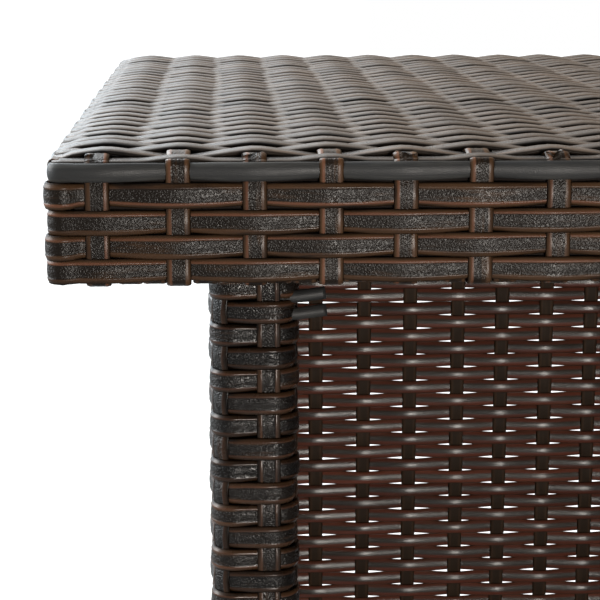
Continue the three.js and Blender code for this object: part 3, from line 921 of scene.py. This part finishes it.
CAMERA_PLACE = Vector((0.0579, -0.611, 0.0711))  # from the top's near left corner
CAMERA_DOWN = 11.246  # degrees
CAMERA_RIGHT = 2.482
LAMP_AIM = Vector((-0.3, -0.1, 0.35))
LAMPS = (  # name, place, size, spread in degrees, watts, color
    ("left", (-HALF_LENGTH - 2.2, 0.35, TOP_Z + 0.75), 1.5, 60, 7.0, (1.0, 0.97, 0.94)),
    ("front", (0.08, -2.3, 0.22), 0.4, 40, 1.5, (1.0, 0.94, 0.87)),
    ("back", (-1.4, 1.3, 2.0), 1.4, 180, 40, (0.95, 0.98, 1.0)),
    ("right", (HALF_LENGTH + 2.2, 0.6, TOP_Z + 0.7), 1.2, 180, 34, (0.97, 0.98, 1.0)),
)


def add_camera():
    data = bpy.data.cameras.new("camera")
    data.lens = 111.5
    data.sensor_width = 36.0
    data.clip_end = 60
    camera = bpy.data.objects.new("camera", data)
    camera.location = Vector((-HALF_LENGTH, -HALF_DEPTH, TOP_Z)) + CAMERA_PLACE
    camera.rotation_euler = (math.radians(90 - CAMERA_DOWN), 0, math.radians(-CAMERA_RIGHT))
    bpy.context.scene.collection.objects.link(camera)
    bpy.context.scene.camera = camera


def add_floor():
    """A grey floor that glows white to the camera. The glow is dimmed over the table's footprint as a
    painted shadow, where the floor's real shade shows too.
    """
    s = FLOOR_SIZE / 2
    mesh = bpy.data.meshes.new("floor")
    mesh.from_pydata([(-s, -s, 0), (s, -s, 0), (s, s, 0), (-s, s, 0)], [], [(0, 1, 2, 3)])
    floor = bpy.data.objects.new("floor", mesh)
    bpy.context.scene.collection.objects.link(floor)
    n = Material("floor_white")
    place = n.node("ShaderNodeTexCoord").outputs["Object"]
    color = n.mix(n.noise(place, 2.0, 3.0), (0.22, 0.22, 0.22), (0.25, 0.25, 0.25))
    x, y = n.parts(place)[:2]
    beyond_x = n.math("MAXIMUM", n.math("SUBTRACT", n.math("ABSOLUTE", x), HALF_LENGTH), 0.0)
    beyond_y = n.math("MAXIMUM", n.math("SUBTRACT", n.math("ABSOLUTE", y), HALF_DEPTH), 0.0)
    # painted shadow: the glow falls from 0.92 away from the table to 0.40 under it
    glow_with_painted_shadow = n.ramp(n.math("ADD", beyond_x, beyond_y), -0.05, 0.16, 0.40, 0.92)
    glow = n.math("MULTIPLY", n.node("ShaderNodeLightPath").outputs["Is Camera Ray"], glow_with_painted_shadow)
    n.shader.inputs["Emission Color"].default_value = (1, 1, 1, 1)
    n.link(glow, n.shader.inputs["Emission Strength"])
    mesh.materials.append(n.finish(color, 0.9))


def surround():
    """A backdrop that is plain white to the camera. It lights the table from behind and from the left,
    cool on the left and warm on the right, and is dim in front."""
    world = bpy.data.worlds.new("studio")
    bpy.context.scene.world = world
    world.use_nodes = True
    n = Nodes(world.node_tree)
    x, y = n.parts(n.node("ShaderNodeTexCoord").outputs["Generated"])[:2]
    behind = n.ramp(y, -0.1, 0.8, 0.02, 0.62)
    leftward = n.ramp(x, -0.26, 0.18, 2.9, 0.0)
    not_front = n.ramp(y, -0.75, 0.15, 0.04, 1.0)
    total = n.math("MULTIPLY_ADD", leftward, not_front, behind)
    tint = n.mix(n.ramp(x, -0.2, 0.2), (0.84, 0.93, 1.0), (1.0, 0.80, 0.62))
    to_camera = n.node("ShaderNodeLightPath").outputs["Is Camera Ray"]
    background = n.tree.nodes["Background"]
    n.link(n.mix(to_camera, tint, (1.0, 1.0, 1.0)), background.inputs["Color"])
    n.link(n.math("MAXIMUM", total, to_camera), background.inputs["Strength"])


def add_lamps():
    for name, place, size, spread, power, color in LAMPS:
        light = bpy.data.lights.new(name, "AREA")
        light.size = size
        light.spread = math.radians(spread)
        light.energy = power
        light.color = color
        lamp = bpy.data.objects.new(name, light)
        lamp.location = place
        aim = LAMP_AIM - Vector(place)
        lamp.rotation_euler = aim.to_track_quat("-Z", "Y").to_euler()
        lamp.visible_camera = False
        bpy.context.scene.collection.objects.link(lamp)
    bpy.context.scene.view_settings.view_transform = "Standard"


# ------------------------------------------------------------------ build

add_camera()
add_floor()
surround()
add_lamps()
rows_per_piece = top_rows // TOP_ROW_PIECES
for part in range(TOP_ROW_PIECES):
    top_rows_piece(f"top_rows_{part + 1}", part * rows_per_piece, (part + 1) * rows_per_piece)
top_stakes_piece()
side_stakes_piece("side_stakes_left", -1)
side_stakes_piece("side_stakes_right", 1)
edge_rows_pieces()
edge_binding_piece()
for leg_name in ("front_left", "front_right", "back_left", "back_right"):
    leg = Leg(leg_name)
    leg_rows_piece(leg)
    leg_stakes_piece(leg)
strand_tails_piece()
for panel in (Panel("back", 0, -1), Panel("left", 1, -1), Panel("right", 1, 1)):
    panel_rows_piece(panel)
    panel_stakes_piece(panel)
    panel_binding_piece(panel)
dress_solids()
